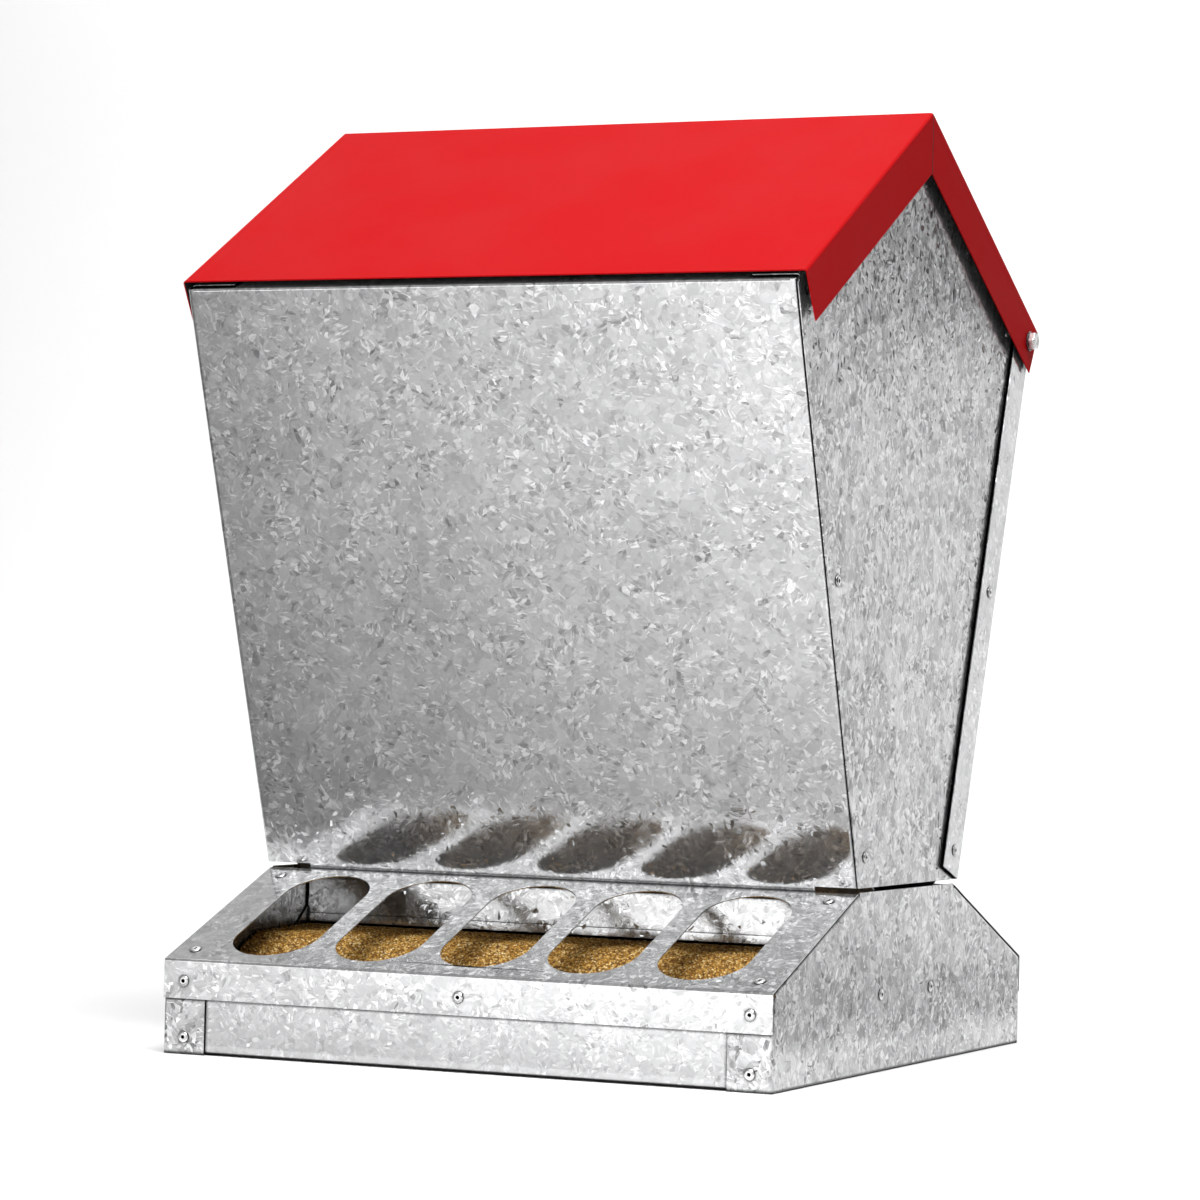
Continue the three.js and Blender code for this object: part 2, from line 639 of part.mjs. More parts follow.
// One painted sheet: two slopes and a flange down each gable, split at the ridge.
function lid() {
  const rearEave = EAVE.x + REAR_EAVE * Math.cos(ROOF_PITCH);
  const ends = [[-1, EAVE.x], [1, rearEave]];
  const profile = foldedProfile(
    [[rearEave, roofAt(rearEave)], [0, RIDGE], [-EAVE.x, EAVE.y]],
    SHEET,
  );
  const roof = sweepX(profile, -LID_SIDE + FOLD_REACH, LID_SIDE - FOLD_REACH);
  const flanges = [-1, 1].flatMap((side) =>
    ends.map(([way, end]) =>
      flange({
        from: new THREE.Vector3(side * LID_SIDE, way * end, roofAt(end)),
        to: new THREE.Vector3(side * LID_SIDE, way * RIDGE_SEAM, roofAt(RIDGE_SEAM)),
        inward: new THREE.Vector3(-side, 0, 0),
        away: new THREE.Vector3(0, -way * Math.sin(ROOF_PITCH), -Math.cos(ROOF_PITCH)),
        width: LID_FLANGE,
        endSlope: -Math.tan(ROOF_PITCH),
      }),
    ),
  );
  return cut(join([roof, ...flanges]), [boltHoles]);
}

piece("lid", lid(), RED_PAINT);

// ---------------------------------------------------------------- hinge

// The pieces on one hinge bolt, from outside: head, washer, the lid's flange, spacer, the hopper's
// sheets, washer and nut. side is -1 or 1, and overFlange says whether a flange lies over the side.
function hingePieces(name, side, overFlange) {
  const centre = new THREE.Vector3(0, HINGE.x, HINGE.y);
  const outward = X.clone().multiplyScalar(side);
  const sheetsOuter = overFlange ? OUTER_FLANGE : SIDE;
  const sheetsInner = overFlange ? SIDE - SHEET : INNER_FLANGE - SHEET;
  const washerFrom = LID_SIDE + SEAM;
  const headFrom = washerFrom + WASHER_THICKNESS + SEAM;
  const headRadius = BOLT_HEAD_ACROSS_FLATS / Math.sqrt(3);
  const bore = BOLT_RADIUS + BOLT_CLEARANCE;
  const ring = (outer, from, to) =>
    turned([[bore, from], [outer, from], [outer, to], [bore, to], [bore, from]], centre, outward,
      2 * ROUND_STEPS);
  const head = cylinder(headRadius, headFrom, headFrom + BOLT_HEAD_HEIGHT, centre, outward, 6);
  const shank = cylinder(BOLT_RADIUS, headFrom - BOLT_TAIL, headFrom + SEAM, centre, outward, ROUND_STEPS);
  const innerWasherTo = sheetsInner - SEAM;
  const innerWasherFrom = innerWasherTo - WASHER_THICKNESS;
  const nutTo = innerWasherFrom - SEAM;
  const nutBlank = cylinder(headRadius, nutTo - NUT_HEIGHT, nutTo, centre, outward, 6);
  const nutBore = cylinder(bore, nutTo - 2 * NUT_HEIGHT, nutTo + NUT_HEIGHT, centre, outward, ROUND_STEPS);
  piece(`hinge_bolt_${name}`, head.add(shank), ZINC);
  piece(`hinge_washer_${name}`, ring(WASHER_RADIUS, washerFrom, washerFrom + WASHER_THICKNESS), ZINC);
  piece(`hinge_spacer_${name}`, ring(WASHER_RADIUS, sheetsOuter + SEAM, LID_SIDE - SHEET - SEAM), ZINC);
  piece(`inner_washer_${name}`, ring(WASHER_RADIUS, innerWasherFrom, innerWasherTo), ZINC);
  piece(`hinge_nut_${name}`, nutBlank.subtract(nutBore), ZINC);
}

hingePieces("right", 1, true);
hingePieces("left", -1, false);

// ---------------------------------------------------------------- rivets in place

const OPPOSITE = { left: "right", right: "left", front: "rear", rear: "front" };
// A name's words for the twin half a turn away: left is always -X, and front always -Y.
const twinName = (name) => name.split("_").map((word) => OPPOSITE[word] ?? word).join("_");

for (const [prefix, rivets] of [["front", frontRivets], ["right", sideRivets]]) {
  for (const rivet of rivets) {
    const name = `${prefix}_${rivet.name}`;
    twins(name, twinName(name), rivetSolid(rivet), ZINC);
  }
}

export default feeder;
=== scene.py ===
import json
import math

import bmesh
import bpy
import numpy as np
from mathutils import Matrix, Vector

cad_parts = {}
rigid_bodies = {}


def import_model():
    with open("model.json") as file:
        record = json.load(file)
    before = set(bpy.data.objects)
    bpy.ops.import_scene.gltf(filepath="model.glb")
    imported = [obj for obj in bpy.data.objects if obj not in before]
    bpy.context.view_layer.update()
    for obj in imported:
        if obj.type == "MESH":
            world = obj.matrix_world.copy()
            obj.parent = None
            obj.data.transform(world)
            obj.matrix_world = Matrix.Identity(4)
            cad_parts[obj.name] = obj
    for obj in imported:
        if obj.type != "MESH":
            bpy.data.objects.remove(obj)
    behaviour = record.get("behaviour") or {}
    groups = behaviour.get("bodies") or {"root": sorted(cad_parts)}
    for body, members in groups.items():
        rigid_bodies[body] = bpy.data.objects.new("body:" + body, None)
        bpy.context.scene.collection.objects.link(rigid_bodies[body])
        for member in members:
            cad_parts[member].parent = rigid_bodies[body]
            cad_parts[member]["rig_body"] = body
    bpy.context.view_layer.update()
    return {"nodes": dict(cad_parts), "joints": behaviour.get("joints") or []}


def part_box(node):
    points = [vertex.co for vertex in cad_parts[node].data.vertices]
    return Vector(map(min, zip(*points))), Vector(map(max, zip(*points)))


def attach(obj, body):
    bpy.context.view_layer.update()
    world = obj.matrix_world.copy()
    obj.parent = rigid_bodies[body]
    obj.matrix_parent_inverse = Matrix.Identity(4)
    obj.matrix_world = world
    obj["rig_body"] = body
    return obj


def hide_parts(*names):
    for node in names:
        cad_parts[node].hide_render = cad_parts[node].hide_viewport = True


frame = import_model()
NODES = frame["nodes"]
MM = 0.001
rng = np.random.default_rng(11)
scene = bpy.context.scene


# ---------------------------------------------------------------- shader nodes


class Shader:
    """A material's node tree, built node by node."""

    def __init__(self, name):
        self.material = bpy.data.materials.new(name)
        self.material.use_nodes = True
        self.tree = self.material.node_tree
        self.tree.nodes.clear()
        self.place = self.node("TexCoord").outputs["Object"]

    def node(self, kind, inputs=None, **settings):
        made = self.tree.nodes.new("ShaderNode" + kind)
        for key, value in settings.items():
            setattr(made, key, value)
        for key, value in (inputs or {}).items():
            if isinstance(value, bpy.types.NodeSocket):
                self.tree.links.new(value, made.inputs[key])
            else:
                made.inputs[key].default_value = value
        return made

    def math(self, operation, a, b=0.0, c=0.0, clamp=False):
        made = self.node("Math", {0: a, 1: b, 2: c}, operation=operation)
        made.use_clamp = clamp
        return made.outputs[0]

    def vector(self, operation, a, b=None, scale=None):
        inputs = {0: a}
        if b is not None:
            inputs[1] = b
        if scale is not None:
            inputs["Scale"] = scale
        return self.node("VectorMath", inputs, operation=operation).outputs[0]

    def noise(self, place, size, detail=2.0, roughness=0.5):
        """A cloudy pattern with features of a given size: its value and its colour."""
        inputs = {"Vector": place, "Scale": 1 / size, "Detail": detail, "Roughness": roughness}
        made = self.node("TexNoise", inputs)
        return made.outputs["Fac"], made.outputs["Color"]

    def cells(self, place, size, metric="EUCLIDEAN"):
        """Cells of a given size: the distance from a cell's middle and the cell's random colour."""
        made = self.node("TexVoronoi", {"Vector": place, "Scale": 1 / size}, distance=metric)
        return made.outputs["Distance"], made.outputs["Color"]

    def shrunk(self, place, sizes):
        """Coordinates in which a box of the given sizes becomes a unit cube."""
        return self.vector("MULTIPLY", place, tuple(1 / size for size in sizes))

    def remap(self, value, low, high, to_low=0.0, to_high=1.0):
        made = self.node(
            "MapRange",
            {0: value, 1: low, 2: high, 3: to_low, 4: to_high},
            interpolation_type="SMOOTHSTEP",
        )
        return made.outputs[0]

    def openness(self, reach, samples):
        """How open a place is, from 0 in a crevice to 1 on a free face."""
        return self.node("AmbientOcclusion", {"Distance": reach}, samples=samples).outputs["AO"]

    def mix(self, factor, a, b):
        """Two colours mixed."""
        made = self.node("Mix", data_type="RGBA")
        for index, value in ((0, factor), (6, a), (7, b)):
            if isinstance(value, bpy.types.NodeSocket):
                self.tree.links.new(value, made.inputs[index])
            else:
                made.inputs[index].default_value = value if index == 0 else (*value, 1)
        return made.outputs[2]

    def split(self, colour):
        made = self.node("SeparateColor", {0: colour})
        return made.outputs[0], made.outputs[1], made.outputs[2]

    def bump(self, height, distance, strength=1.0, normal=None):
        inputs = {"Height": height, "Distance": distance, "Strength": strength}
        if normal is not None:
            inputs["Normal"] = normal
        return self.node("Bump", inputs).outputs[0]

    def finish(self, **inputs):
        named = {key.replace("_", " "): value for key, value in inputs.items()}
        for key, value in named.items():
            if isinstance(value, tuple) and len(value) == 3:
                named[key] = (*value, 1)
        surface = self.node("BsdfPrincipled", named)
        self.node("OutputMaterial", {"Surface": surface.outputs[0]})
        return self.material


# ---------------------------------------------------------------- materials


CRYSTAL = 7 * MM
CRYSTAL_WANDER, WANDER_SIZE = 1 * MM, 5 * MM
FEATHER = (0.6 * MM, 3.5 * MM, 3.5 * MM)
SHARD = (1.1 * MM, 2.6 * MM, 2.6 * MM)
SLIVER = (0.9 * MM, 6 * MM, 6 * MM)
SLIVER_GROUP = 15 * MM
BUSY_PATCH = 18 * MM
DRIFT = 80 * MM
DENT = 70 * MM
# How far the painted shade in seams and round rivet heads reaches.
SEAM_SHADE_REACH = 2.4 * MM
HALF = (0.5, 0.5, 0.5)


def galvanised(name, tone, contrast=1.0, gloss=0.11, tilt=0.02, shard_scale=1.5):
    """Zinc with spangle: crystals of several millimetres, some plain and some broken up into small
    angular shards, and thin slivers painted pale as glints."""
    s = Shader(name)
    wander = s.vector("SUBTRACT", s.noise(s.place, WANDER_SIZE, 2.0)[1], HALF)
    place = s.vector("ADD", s.place, s.vector("SCALE", wander, scale=CRYSTAL_WANDER))
    cell = s.cells(place, CRYSTAL)[1]
    cell_tone, cell_broken, cell_rough = s.split(cell)

    def turned(point, random_colour):
        angles = s.vector("SCALE", random_colour, scale=2 * math.pi)
        inputs = {"Vector": point, "Rotation": angles}
        return s.node("VectorRotate", inputs, rotation_type="EULER_XYZ").outputs[0]

    own_way = turned(place, cell)
    feather = s.noise(s.shrunk(own_way, FEATHER), 1.0, 2.0, 0.6)[0]
    feather = s.remap(feather, 0.36, 0.64, -1, 1)
    patch = s.remap(s.noise(s.place, BUSY_PATCH, 2.0)[0], 0.38, 0.6, 0.35, 1)
    busy = s.math("MULTIPLY", patch, s.remap(cell_broken, 0.1, 0.7, 0.3, 1))
    feather = s.math("MULTIPLY", feather, busy)
    # Angular shards, most of them plain, a few pale and a few dark.
    shards = s.shrunk(own_way, (shard_scale * size for size in SHARD))
    shard = s.cells(shards, 1.0)[1]
    shard_tone, shard_glint, _ = s.split(shard)
    pale_shard = s.math("MULTIPLY", s.remap(shard_tone, 0.74, 0.92), busy)
    dark_shard = s.math("MULTIPLY", s.remap(shard_tone, 0.24, 0.06), busy)
    # Slivers lie together in groups, each group its own way; their pale streaks are painted glints.
    group = s.cells(s.place, SLIVER_GROUP)[1]
    lie = s.shrunk(turned(place, group), SLIVER)
    sliver_reach, sliver_colour = s.cells(lie, 1.0, metric="CHEBYCHEV")
    sliver_glint = s.remap(sliver_reach, 0.3, 0.44, 1, 0)
    few = s.remap(s.split(sliver_colour)[0], 0.86, 0.95)
    sliver_glint = s.math("MULTIPLY", sliver_glint, few)
    drift = s.math("SUBTRACT", s.noise(s.place, DRIFT, 3.0)[0], 0.5)
    shade = s.math("MULTIPLY", s.math("SUBTRACT", cell_tone, 0.5), 0.18)
    for part, weight in (
        (feather, 0.1),
        (pale_shard, 0.42),
        (dark_shard, -0.32),
        (sliver_glint, 0.34),
        (drift, 0.25),
    ):
        shade = s.math("MULTIPLY_ADD", part, weight, shade)
    shade = s.math("MULTIPLY_ADD", shade, contrast, 0.48, clamp=True)
    dark = tuple(0.4 * c for c in tone)
    pale = tuple(min(1.0, 1.6 * c) for c in tone)
    seam_shade = tuple(0.04 * c for c in tone)
    colour = s.mix(shade, dark, pale)
    # Near seams, folds and rivet heads the colour turns near black: painted shade where little
    # light reaches.
    colour = s.mix(s.remap(s.openness(SEAM_SHADE_REACH, 6), 0.76, 0.99), seam_shade, colour)
    rough = s.math("MULTIPLY_ADD", cell_rough, 0.06, gloss - 0.03)
    rough = s.math("MULTIPLY_ADD", feather, 0.015, rough)
    rough = s.math("MULTIPLY_ADD", pale_shard, 0.05, rough)
    # Crystals and shards lean a little, each its own way, and some shards lean further.
    cell_lean = s.vector("SCALE", s.vector("SUBTRACT", cell, HALF), scale=0.35 * tilt)
    strength = s.remap(shard_glint, 0.7, 1.0, 0.3 * tilt, 5 * tilt)
    shard_lean = s.vector("SCALE", s.vector("SUBTRACT", shard, HALF), scale=strength)
    normal = s.vector("ADD", s.node("NewGeometry").outputs["Normal"], cell_lean)
    normal = s.vector("NORMALIZE", s.vector("ADD", normal, shard_lean))
    normal = s.bump(s.noise(s.place, DENT, 2.0)[0], 0.25 * MM, 1.0, normal)
    normal = s.bump(feather, 0.01 * MM, 0.5, normal)
    return s.finish(Base_Color=colour, Metallic=0.85, Roughness=rough, Normal=normal)


def red_paint():
    """Stove-enamelled sheet: even red with a faint orange peel and a little dust."""
    s = Shader("red_paint")
    cloud = s.noise(s.place, 70 * MM, 4.0)[0]
    fine = s.noise(s.place, 1.6 * MM, 2.0)[0]
    colour = s.mix(s.remap(cloud, 0.3, 0.7), (0.42, 0.004, 0.006), (0.43, 0.0045, 0.0065))
    colour = s.mix(s.remap(fine, 0.62, 0.8, 0, 0.25), colour, (0.39, 0.0035, 0.005))
    rough = s.remap(cloud, 0.3, 0.7, 0.44, 0.54)
    normal = s.bump(s.noise(s.place, 1.1 * MM, 2.0)[0], 0.03 * MM, 0.6)
    normal = s.bump(s.noise(s.place, 80 * MM, 1.0)[0], 0.6 * MM, 0.5, normal)
    return s.finish(Base_Color=colour, Roughness=rough, Normal=normal, Specular_IOR_Level=0.02)


def backing_coat_painted_shade():
    """The coat on the painted sheet's inner side, near black: a real coat that also stands as
    painted shade.
    """
    s = Shader("backing_coat_painted_shade")
    cloud = s.noise(s.place, 30 * MM, 4.0)[0]
    colour = s.mix(s.remap(cloud, 0.35, 0.65), (0.035, 0.03, 0.03), (0.055, 0.048, 0.047))
    rough = s.remap(cloud, 0.3, 0.7, 0.5, 0.65)
    normal = s.bump(s.noise(s.place, 1.2 * MM, 2.0)[0], 0.04 * MM, 0.6)
    return s.finish(Base_Color=colour, Roughness=rough, Normal=normal, Specular_IOR_Level=0.25)


def zinc():
    """Bright zinc plating with fine pits and dull spots, near black in its holes and corners as
    painted shade.
    """
    s = Shader("zinc_hardware")
    cloud = s.noise(s.place, 1.5 * MM, 3.0)[0]
    fine = s.noise(s.place, 0.25 * MM, 2.0)[0]
    colour = s.mix(s.remap(cloud, 0.35, 0.7), (0.78, 0.78, 0.78), (0.95, 0.95, 0.94))
    # Holes, rims and corners go near black: painted shade.
    colour = s.mix(s.remap(s.openness(3 * MM, 8), 0.6, 0.96), (0.01, 0.01, 0.01), colour)
    rough = s.remap(fine, 0.3, 0.7, 0.22, 0.36)
    normal = s.bump(fine, 0.02 * MM, 0.5)
    return s.finish(Base_Color=colour, Metallic=1.0, Roughness=rough, Normal=normal)


GRAIN_COLOURS = (
    (0.0, (0.09, 0.035, 0.008)),
    (0.2, (0.28, 0.12, 0.018)),
    (0.5, (0.5, 0.26, 0.045)),
    (0.8, (0.7, 0.43, 0.11)),
    (1.0, (0.93, 0.76, 0.4)),
)


def grain_material():
    """Cracked corn and small seed: golden kernels with pale and dark ones among them."""
    s = Shader("grain")
    reach, colour = s.cells(s.place, 1.15 * MM)
    ramp = s.node("ValToRGB", {0: s.split(colour)[0]})
    band = ramp.color_ramp
    band.elements[0].color = (*GRAIN_COLOURS[0][1], 1)
    band.elements[1].color = (*GRAIN_COLOURS[-1][1], 1)
    for position, kernel in GRAIN_COLOURS[1:-1]:
        band.elements.new(position).color = (*kernel, 1)
    # Each kernel darkens towards its edge: painted shade in the gaps between kernels.
    gap_shade = s.remap(reach, 0.35, 0.75, 0, 0.75)
    colour = s.mix(gap_shade, ramp.outputs[0], (0.07, 0.03, 0.006))
    normal = s.bump(s.noise(s.place, 0.5 * MM, 2.0)[0], 0.15 * MM, 0.8)
    return s.finish(Base_Color=colour, Roughness=0.75, Normal=normal, Specular_IOR_Level=0.25)


def plain_stage(name, colour):
    s = Shader(name)
    return s.finish(Base_Color=colour, Roughness=0.9, Specular_IOR_Level=0.1)


SHEET_TONE = (0.56, 0.563, 0.567)
# The sides get a darker copy of the same zinc with stronger contrast: painted shade and painted
# glints for the grazing light on them.
SIDE_SHADE_TONE = (0.46, 0.463, 0.466)
FRONT_SHEET = galvanised("galvanised_sheet", SHEET_TONE)
SIDE_SHADE_AND_GLINT_SHEET = galvanised(
    "galvanised_side_shade_and_glint", SIDE_SHADE_TONE, contrast=2.3, gloss=0.2, tilt=0.05, shard_scale=1.7
)
TROUGH_SHEET = galvanised("galvanised_trough", SHEET_TONE, contrast=0.6, shard_scale=1.1)
RED = red_paint()
ZINC = zinc()
GRAIN = grain_material()


# ---------------------------------------------------------------- pieces from the CAD's meshes


def own(node, name, mesh, material):
    """A new piece that stands for a CAD node and rides on its body."""
    piece = bpy.data.objects.new(name, mesh)
    scene.collection.objects.link(piece)
    mesh.materials.clear()
    mesh.materials.append(material)
    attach(piece, NODES[node]["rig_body"])
    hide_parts(node)
    return piece


def face_width(face):
    return face.calc_area() / max(edge.calc_length() for edge in face.edges)


EDGE_RADIUS = 0.16 * MM
SLIVER_FACE = 0.05 * MM  # narrower faces keep their edges as they are


def refined(node, name, material):
    """The CAD sheet with its cut edges rounded and its folds shaded smooth."""
    bm = bmesh.new()
    bm.from_mesh(NODES[node].data)
    bmesh.ops.remove_doubles(bm, verts=bm.verts, dist=1e-6)
    bmesh.ops.dissolve_limit(
        bm,
        angle_limit=math.radians(0.8),
        verts=bm.verts,
        edges=bm.edges,
        use_dissolve_boundaries=False,
    )
    thin = {face for face in bm.faces if face_width(face) < SLIVER_FACE}
    sharp = [
        edge
        for edge in bm.edges
        if len(edge.link_faces) == 2
        and edge.calc_face_angle(0) > math.radians(40)
        and not any(face in thin for face in edge.link_faces)
    ]
    bmesh.ops.bevel(
        bm,
        geom=sharp,
        offset=EDGE_RADIUS,
        offset_type="OFFSET",
        segments=2,
        profile=0.5,
        affect="EDGES",
        clamp_overlap=False,
    )
    for face in bm.faces:
        face.smooth = True
    mesh = bpy.data.meshes.new(name)
    bm.to_mesh(mesh)
    bm.free()
    mesh.set_sharp_from_angle(angle=math.radians(38))
    piece = own(node, name, mesh, material)
    weighted = piece.modifiers.new("weighted", "WEIGHTED_NORMAL")
    weighted.keep_sharp = True
    weighted.weight = 100
    return piece


for node, material in (
    ("front_panel", FRONT_SHEET),
    ("rear_panel", FRONT_SHEET),
    ("hopper_side_left", SIDE_SHADE_AND_GLINT_SHEET),
    ("hopper_side_right", SIDE_SHADE_AND_GLINT_SHEET),
    ("base_side_left", SIDE_SHADE_AND_GLINT_SHEET),
    ("base_side_right", SIDE_SHADE_AND_GLINT_SHEET),
    ("trough", TROUGH_SHEET),
    ("front_baffle", FRONT_SHEET),
    ("rear_baffle", FRONT_SHEET),
):
    refined(node, node + "_sheet", material)


def painted_lid():
    """The lid, red outside and at its edges, with the near-black coat, partly painted shade, on its
    inner faces.
    """
    lid = refined("lid", "lid_sheet", RED)
    lid.data.materials.append(backing_coat_painted_shade())
    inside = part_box("lid")[1].x - 1.5 * MM
    # Faces under the lid and facing inwards take the near-black coat: painted shade where the lid
    # shades itself.
    for face in lid.data.polygons:
        at, out = face.center, face.normal
        under = out.z < -0.5 and abs(at.x) < inside
        inward = abs(out.x) > 0.9 and out.x * at.x < 0
        inner_eave = abs(out.y) > 0.6 and out.y * at.y < 0 and abs(out.x) < 0.5 and out.z <= 0.1
        face.material_index = 1 if under or inward or inner_eave else 0


painted_lid()


# ---------------------------------------------------------------- turned pieces


def points_of(node):
    return np.array([v.co for v in NODES[node].data.vertices], float)


def ring_body(rings, at, axis, closed=False):
    """A mesh from rings of (radii, heights) round an axis, with one radius and height per step.
    A closed body joins its last ring to its first, and an open one gets a cap at each end."""
    steps = len(rings[0][0])
    turn = Vector((0, 0, 1)).rotation_difference(Vector(axis)).to_matrix()
    bm = bmesh.new()
    loops = []
    for radii, heights in rings:
        loop = []
        for i in range(steps):
            angle = 2 * math.pi * i / steps
            local = Vector((radii[i] * math.cos(angle), radii[i] * math.sin(angle), heights[i]))
            loop.append(bm.verts.new(Vector(at) + turn @ local))
        loops.append(loop)
    pairs = list(zip(loops, loops[1:] + loops[:1])) if closed else list(zip(loops, loops[1:]))
    for low, high in pairs:
        for i in range(steps):
            j = (i + 1) % steps
            bm.faces.new((low[i], low[j], high[j], high[i]))
    if not closed:
        bm.faces.new(list(reversed(loops[0])))
        bm.faces.new(loops[-1])
    bmesh.ops.recalc_face_normals(bm, faces=bm.faces)
    return bm


def lathe(profile, at, axis, steps=40, closed=False):
    rings = [([r] * steps, [h] * steps) for r, h in profile]
    return ring_body(rings, at, axis, closed)


def mesh_from(name, bodies, angle=35):
    whole = bpy.data.meshes.new(name)
    joined = bmesh.new()
    for bm in bodies:
        part = bpy.data.meshes.new("part")
        bm.to_mesh(part)
        bm.free()
        joined.from_mesh(part)
        bpy.data.meshes.remove(part)
    for face in joined.faces:
        face.smooth = True
    joined.to_mesh(whole)
    joined.free()
    whole.set_sharp_from_angle(angle=math.radians(angle))
    return whole


PLATE_ANGLE = math.radians(21.77)  # the grille plates' slope
RIVET_HEAD = 1.15 * MM
RIVET_BULB = 3 * MM
# From the broken stem deep in the hole, out over the head and down to the shank, in millimetres
# from the sheet's face.
HEAD_PROFILE = (
    (0.05, -0.9),
    (0.7, -0.95),
    (0.96, -0.9),
    (0.98, 0.7),
    (1.02, 0.92),
    (1.12, 1.06),
    (1.3, 1.13),
    (1.6, 1.14),
    (2.1, 1.06),
    (2.55, 0.9),
    (2.9, 0.7),
    (3.1, 0.5),
    (3.2, 0.32),
    (3.22, 0.18),
    (3.16, 0.06),
    (3.0, 0.01),
    (1.62, 0.01),
)


def rivet_axis(node):
    if node.startswith(("left", "right")):
        return Vector((-1 if node.startswith("left") else 1, 0, 0))
    side = -1 if node.startswith("front") else 1
    if "plate" in node:
        return Vector((0, side * math.sin(PLATE_ANGLE), math.cos(PLATE_ANGLE)))
    return Vector((0, side, 0))


def blind_rivet(node):
    """A blind rivet: a domed head with the broken stem deep in its hole, and a pulled bulb."""
    axis = rivet_axis(node)
    place = points_of(node)
    along = place @ np.array(axis)
    top, bottom = along.max(), along.min()
    across = place - np.outer(along, np.array(axis))
    middle = Vector((across.min(0) + across.max(0)) / 2)
    face = top - RIVET_HEAD
    at = middle + axis * face
    bulb_end = bottom - face
    shank_end = bulb_end + RIVET_BULB
    profile = [(r * MM, h * MM) for r, h in HEAD_PROFILE]
    profile += [
        (1.6 * MM, shank_end + 0.1 * MM),
        (1.9 * MM, shank_end - 0.1 * MM),
        (2.15 * MM, shank_end - 0.6 * MM),
        (2.18 * MM, shank_end - 1.5 * MM),
        (2.0 * MM, bulb_end + 0.6 * MM),
        (1.5 * MM, bulb_end + 0.12 * MM),
        (0.9 * MM, bulb_end),
        (0.05 * MM, bulb_end + 0.02 * MM),
    ]
    mesh = mesh_from(node + "_fine", [lathe(profile, at, axis)], 50)
    return own(node, node + "_fine", mesh, ZINC)


for node in sorted(NODES):
    if "rivet" in node:
        blind_rivet(node)


# ---------------------------------------------------------------- hinge hardware

HINGE_AXIS = Vector((0, *frame["joints"][0]["pos_m"][1:]))
ACROSS_FLATS = 10 * MM
BOLT_HEAD = 3.8 * MM
BOLT_RADIUS = 3 * MM
BOLT_SHANK = 6 * MM  # plain length under the head
THREAD_PITCH = 1 * MM
THREAD_DEPTH = 0.33 * THREAD_PITCH
NUT_BORE = 3.15 * MM
WASHER_RADIUS, WASHER_BORE, WASHER_EDGE = 6 * MM, 3.3 * MM, 0.12 * MM
HEX_STEPS = 72
ROD_STEPS = 36
# Heights of a hexagon's rings, closest together where its corners are cut back.
HEX_LEVELS = (0, 0.04, 0.08, 0.12, 0.2, 0.3, 0.7, 0.8, 0.88, 0.92, 0.96, 1)


def even_ring(radius, height, steps):
    return [radius] * steps, [height] * steps


def hex_rings(height, start, chamfer_bottom):
    """Rings of a hexagonal prism whose corners are cut back by a cone at one or both ends."""
    rings = []
    for level in HEX_LEVELS:
        h = level * height
        radii = []
        for i in range(HEX_STEPS):
            from_flat = (2 * math.pi * i / HEX_STEPS + math.pi / 6) % (math.pi / 3) - math.pi / 6
            r = ACROSS_FLATS / 2 / math.cos(from_flat)
            r = min(r, ACROSS_FLATS * 0.47 + (height - h) * 1.7)
            if chamfer_bottom:
                r = min(r, ACROSS_FLATS * 0.47 + h * 1.7)
            radii.append(r)
        rings.append((radii, [start + h] * HEX_STEPS))
    return rings


def threaded(length, start):
    """Rings of a threaded rod, from start downwards along the axis."""
    rings = []
    rows = int(length / THREAD_PITCH * 8)
    for row in range(rows + 1):
        h = row * length / rows
        fade = min(1.0, h / THREAD_PITCH, (length - h) / (0.6 * THREAD_PITCH))
        radii = []
        for i in range(ROD_STEPS):
            turn = (h / THREAD_PITCH - i / ROD_STEPS) % 1
            depth = THREAD_DEPTH * abs(2 * turn - 1)
            radii.append(BOLT_RADIUS - THREAD_DEPTH + (THREAD_DEPTH - depth) * fade)
        rings.append((radii, [start - h] * ROD_STEPS))
    return rings


def hinge_bolt(low, high):
    """A hexagon head, dished on top, and a rod that is threaded below a plain stretch."""
    under = high - BOLT_HEAD
    head = hex_rings(BOLT_HEAD, under, False)
    for radius, drop in ((4.4, 0), (2.6, 0), (2.3, 0.25), (0.1, 0.3)):
        head.append(even_ring(radius * MM, high - drop * MM, HEX_STEPS))
    shank = [even_ring(BOLT_RADIUS, under + 0.2 * MM, ROD_STEPS)]
    rod = threaded(under - BOLT_SHANK - low, under - BOLT_SHANK)
    return [(head, False), (shank + rod, False)]


def hinge_nut(low, high):
    nut = hex_rings(high - low, low, True)
    bore = [even_ring(NUT_BORE, height, HEX_STEPS) for height in (high, low)]
    return [(nut + bore, True)]


def hinge_ring(low, high):
    """A washer or spacer with its four edges broken."""
    edge = WASHER_EDGE
    profile = [
        (WASHER_BORE + edge, low),
        (WASHER_RADIUS - edge, low),
        (WASHER_RADIUS, low + edge),
        (WASHER_RADIUS, high - edge),
        (WASHER_RADIUS - edge, high),
        (WASHER_BORE + edge, high),
        (WASHER_BORE, high - edge),
        (WASHER_BORE, low + edge),
    ]
    return [([even_ring(radius, height, 48) for radius, height in profile], True)]


